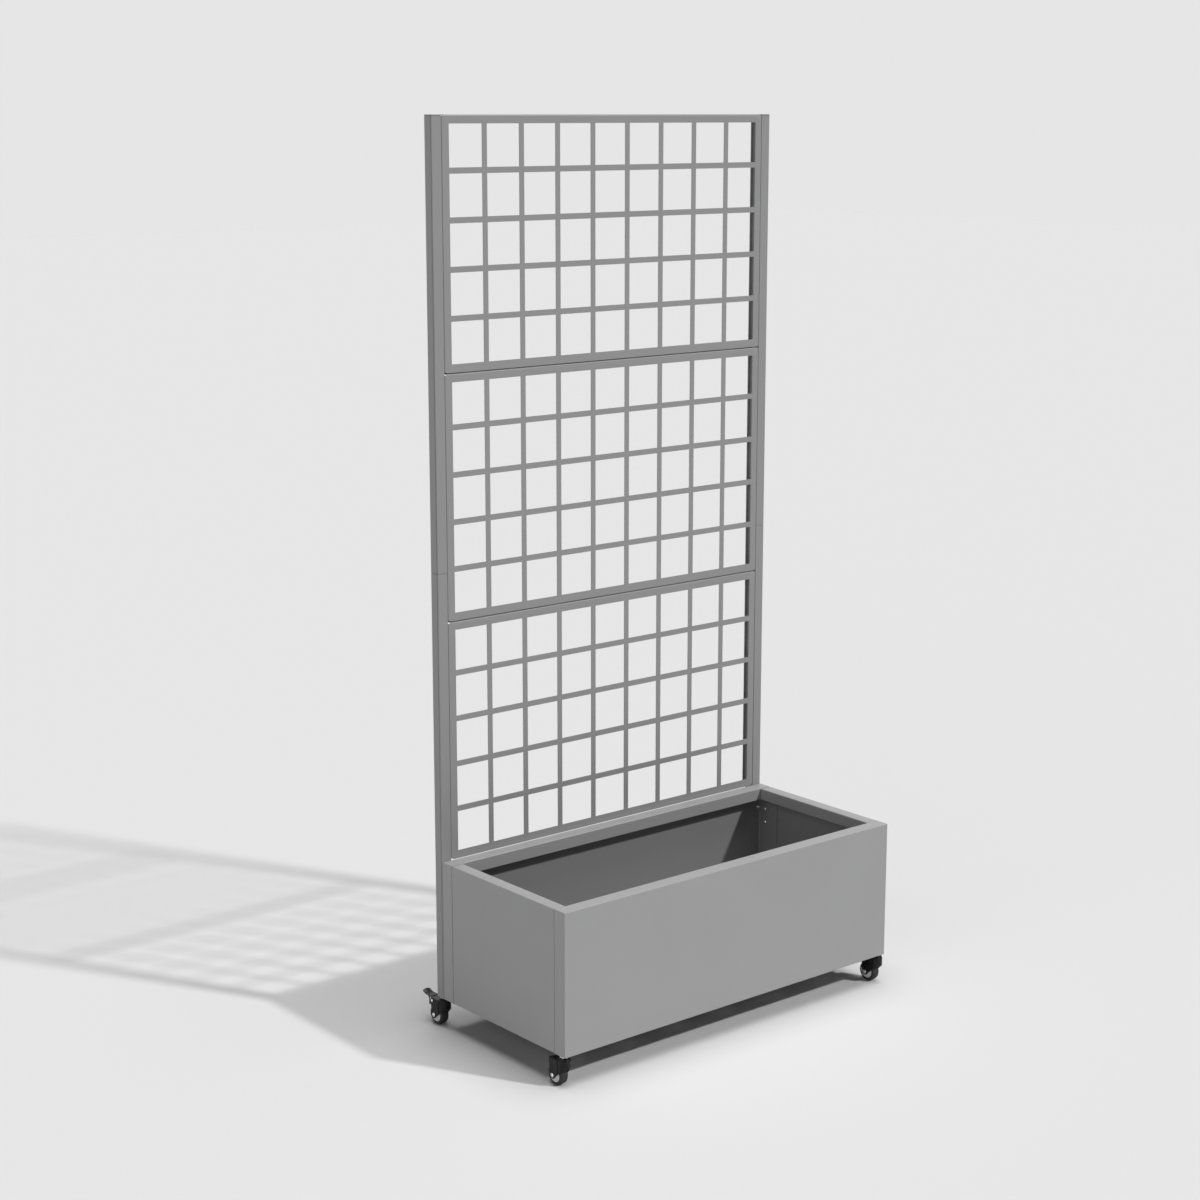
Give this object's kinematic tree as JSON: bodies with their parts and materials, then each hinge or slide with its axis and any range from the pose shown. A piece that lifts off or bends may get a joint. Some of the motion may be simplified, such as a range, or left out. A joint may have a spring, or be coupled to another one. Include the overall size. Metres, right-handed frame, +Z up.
{
  "type": "rolling planter",
  "caption": "Rectangular sheet-metal planter box on swivel casters, with a tall trellis of square-holed panels between two posts at its rear.",
  "frame": {"origin": "on the floor, under the middle of the overall width and of the overall depth, brake pedals included", "axes": "+X along the width of the box, +Y from the front of the box to the trellis, +Z up along the posts"},
  "size_m": [0.929, 0.492, 1.902],
  "materials": {
    "coated_steel": "satin grey powder coat",
    "black_steel": "satin black",
    "zinc_steel": "bright zinc plate",
    "wheel_plastic": "white moulded",
    "black_rubber": "matt",
    "grey_plastic": "matt"
  },
  "bodies": {
    "planter": {"front_panel": "coated_steel", "back_panel": "coated_steel", "left_side_panel": "coated_steel", "right_side_panel": "coated_steel", "corner_angle_front_left": "coated_steel", "corner_angle_front_right": "coated_steel", "corner_angle_rear_left": "coated_steel", "corner_angle_rear_right": "coated_steel", "floor_panel": "coated_steel", "floor_rail_left": "coated_steel", "floor_rail_middle": "coated_steel", "floor_rail_right": "coated_steel", "post_left_lower": "coated_steel", "post_left_upper": "coated_steel", "post_left_sleeve": "coated_steel", "post_left_cap": "grey_plastic", "post_left_foot": "zinc_steel", "post_right_lower": "coated_steel", "post_right_upper": "coated_steel", "post_right_sleeve": "coated_steel", "post_right_cap": "grey_plastic", "post_right_foot": "zinc_steel", "trellis_panel_bottom": "coated_steel", "trellis_panel_middle": "coated_steel", "trellis_panel_top": "coated_steel", "caster_plate_left": "coated_steel", "caster_plate_right": "coated_steel", "caster_front_left_stem": "zinc_steel", "caster_front_left_swivel_cup": "zinc_steel", "caster_front_left_nut": "zinc_steel", "caster_front_right_stem": "zinc_steel", "caster_front_right_swivel_cup": "zinc_steel", "caster_front_right_nut": "zinc_steel", "caster_rear_left_stem": "zinc_steel", "caster_rear_left_swivel_cup": "zinc_steel", "caster_rear_right_stem": "zinc_steel", "caster_rear_right_swivel_cup": "zinc_steel"},
    "swivel_front_left": {"caster_front_left_fork": "black_steel", "caster_front_left_axle": "zinc_steel"},
    "swivel_front_right": {"caster_front_right_fork": "black_steel", "caster_front_right_axle": "zinc_steel"},
    "swivel_rear_left": {"caster_rear_left_fork": "black_steel", "caster_rear_left_axle": "zinc_steel", "caster_rear_left_brake_pin": "zinc_steel"},
    "swivel_rear_right": {"caster_rear_right_fork": "black_steel", "caster_rear_right_axle": "zinc_steel", "caster_rear_right_brake_pin": "zinc_steel"},
    "wheel_front_left": {"caster_front_left_wheel_core": "wheel_plastic", "caster_front_left_tyre": "black_rubber"},
    "wheel_front_right": {"caster_front_right_wheel_core": "wheel_plastic", "caster_front_right_tyre": "black_rubber"},
    "wheel_rear_left": {"caster_rear_left_wheel_core": "wheel_plastic", "caster_rear_left_tyre": "black_rubber"},
    "wheel_rear_right": {"caster_rear_right_wheel_core": "wheel_plastic", "caster_rear_right_tyre": "black_rubber"},
    "brake_rear_left": {"caster_rear_left_brake_pedal": "black_steel"},
    "brake_rear_right": {"caster_rear_right_brake_pedal": "black_steel"}
  },
  "joints": [
    {"name": "front_left_swivel", "type": "hinge", "parent": "planter", "child": "swivel_front_left", "pos_m": [-0.447, -0.23099, 0.057], "axis": [0, 0, 1], "continuous": true},
    {"name": "front_right_swivel", "type": "hinge", "parent": "planter", "child": "swivel_front_right", "pos_m": [0.447, -0.23099, 0.057], "axis": [0, 0, 1], "continuous": true},
    {"name": "rear_left_swivel", "type": "hinge", "parent": "planter", "child": "swivel_rear_left", "pos_m": [-0.445, 0.17751, 0.057], "axis": [0, 0, 1], "continuous": true},
    {"name": "rear_right_swivel", "type": "hinge", "parent": "planter", "child": "swivel_rear_right", "pos_m": [0.445, 0.17751, 0.057], "axis": [0, 0, 1], "continuous": true},
    {"name": "front_left_wheel_spin", "type": "hinge", "parent": "swivel_front_left", "child": "wheel_front_left", "pos_m": [-0.447, -0.21099, 0.02231], "axis": [1, 0, 0], "continuous": true},
    {"name": "front_right_wheel_spin", "type": "hinge", "parent": "swivel_front_right", "child": "wheel_front_right", "pos_m": [0.447, -0.21099, 0.02231], "axis": [1, 0, 0], "continuous": true},
    {"name": "rear_left_wheel_spin", "type": "hinge", "parent": "swivel_rear_left", "child": "wheel_rear_left", "pos_m": [-0.445, 0.19751, 0.02231], "axis": [1, 0, 0], "continuous": true},
    {"name": "rear_right_wheel_spin", "type": "hinge", "parent": "swivel_rear_right", "child": "wheel_rear_right", "pos_m": [0.445, 0.19751, 0.02231], "axis": [1, 0, 0], "continuous": true},
    {"name": "rear_left_brake", "type": "hinge", "parent": "swivel_rear_left", "child": "brake_rear_left", "pos_m": [-0.445, 0.20351, 0.0525], "axis": [-1, 0, 0], "range_deg": [0, 9]},
    {"name": "rear_right_brake", "type": "hinge", "parent": "swivel_rear_right", "child": "brake_rear_right", "pos_m": [0.445, 0.20351, 0.0525], "axis": [-1, 0, 0], "range_deg": [0, 9]}
  ]
}
